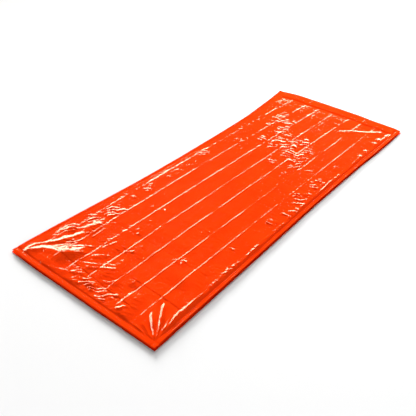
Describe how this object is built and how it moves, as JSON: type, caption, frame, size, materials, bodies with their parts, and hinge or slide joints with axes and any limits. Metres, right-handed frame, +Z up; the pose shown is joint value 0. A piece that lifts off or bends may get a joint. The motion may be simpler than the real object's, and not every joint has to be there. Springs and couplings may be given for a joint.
{
  "type": "emergency sleeping bag",
  "caption": "Thin glossy orange plastic-film survival bag laid out flat, welded along the sides and foot, open at one short end, creased from its pack folds.",
  "frame": {"origin": "on the floor, under the middle of the bag's outline", "axes": "+X along the bag from its foot to its mouth, +Y to its left side, +Z up"},
  "size_m": [2.13, 0.8699, 0.0194],
  "materials": {
    "orange_film": "glossy thin polyethylene film, creased and crinkled"
  },
  "bodies": {
    "root": {"top_film": "orange_film", "bottom_film": "orange_film"}
  },
  "joints": []
}
